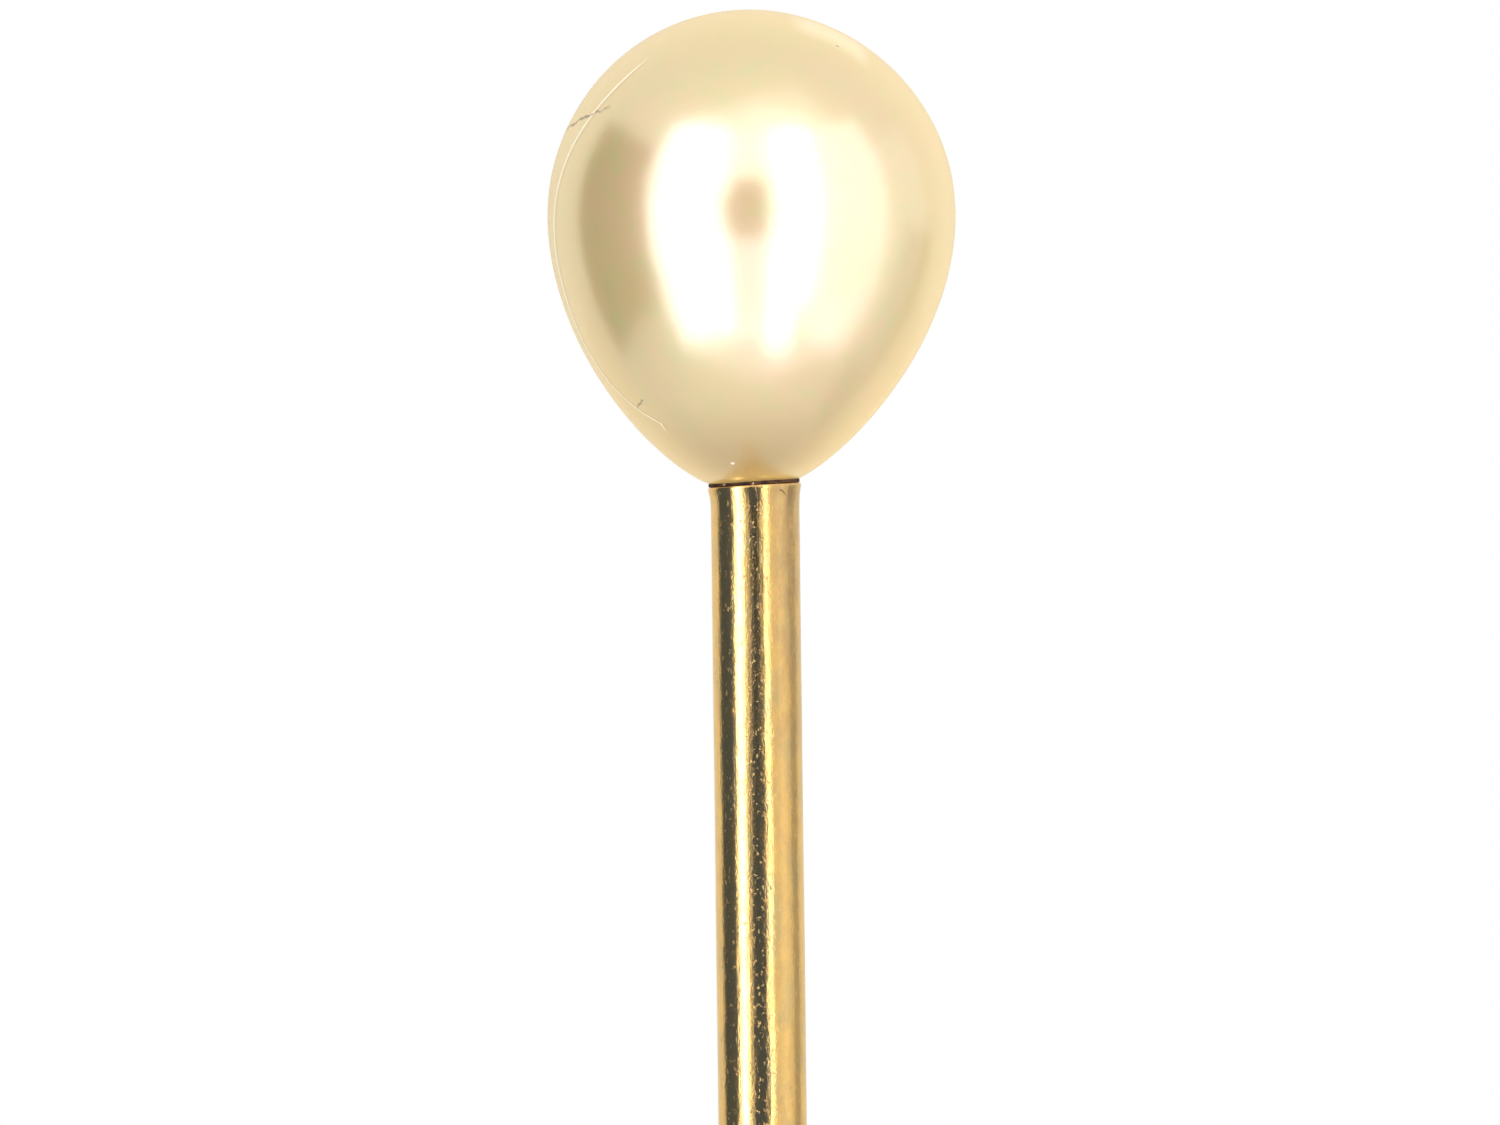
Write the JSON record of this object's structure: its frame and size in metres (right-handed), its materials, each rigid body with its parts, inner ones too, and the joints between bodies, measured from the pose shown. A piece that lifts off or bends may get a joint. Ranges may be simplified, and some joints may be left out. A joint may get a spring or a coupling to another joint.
{
  "type": "pearl-headed hat pin",
  "caption": "Hat pin with a drop-shaped cream pearl cemented on a long straight gold-coloured stem, its ground point covered by a small sprung clutch.",
  "frame": {"origin": "on the stem's axis at the stem's top rim, where the pearl sits and the hat's felt bears", "axes": "+Z along the stem towards the pearl, +X to the viewer's right with the pearl's slight bow to the left, +Y away from the viewer"},
  "size_m": [0.006, 0.0058, 0.1092],
  "materials": {
    "pearl_nacre": "lustrous cream nacre, soft gloss",
    "dark_cement": "thin dark resin cement line",
    "yellow_gold": "polished yellow gold plate with fine draw lines and scuffs",
    "clutch_gold": "satin turned yellow gold plate",
    "bright_brass": "bright turned brass",
    "spring_steel": "drawn spring wire",
    "ball_steel": "polished hard steel"
  },
  "bodies": {
    "pin": {"pearl": "pearl_nacre", "pearl_cement": "dark_cement", "peg": "bright_brass", "stem": "yellow_gold"},
    "clutch_shell": {"clutch_barrel": "clutch_gold", "clutch_end_ring": "bright_brass", "clutch_spring": "spring_steel"},
    "clutch_plunger": {"clutch_cage": "bright_brass", "clutch_knob": "clutch_gold"},
    "grip_ball_1": {"clutch_ball_1": "ball_steel"},
    "grip_ball_2": {"clutch_ball_2": "ball_steel"},
    "grip_ball_3": {"clutch_ball_3": "ball_steel"}
  },
  "joints": [
    {"name": "clutch_slide", "type": "slide", "parent": "pin", "child": "clutch_shell", "axis": [0, 0, -1], "range_m": [0, 0.0155]},
    {"name": "plunger_pull", "type": "slide", "parent": "clutch_shell", "child": "clutch_plunger", "axis": [0, 0, -1], "range_m": [0, 0.0009], "stiffness_N_per_m": 400, "springref_m": -0.0012, "deforming": ["clutch_spring"]},
    {"name": "ball_1_shift", "type": "slide", "parent": "clutch_plunger", "child": "grip_ball_1", "axis": [0, 1, 0], "range_m": [0, 0.0002]},
    {"name": "ball_2_shift", "type": "slide", "parent": "clutch_plunger", "child": "grip_ball_2", "axis": [-0.866, -0.5, 0], "range_m": [0, 0.0002]},
    {"name": "ball_3_shift", "type": "slide", "parent": "clutch_plunger", "child": "grip_ball_3", "axis": [0.866, -0.5, 0], "range_m": [0, 0.0002]}
  ],
  "couplings": [
    {"joint": "ball_1_shift", "follows": "plunger_pull", "ratio": 0.21256},
    {"joint": "ball_2_shift", "follows": "plunger_pull", "ratio": 0.21256},
    {"joint": "ball_3_shift", "follows": "plunger_pull", "ratio": 0.21256}
  ]
}
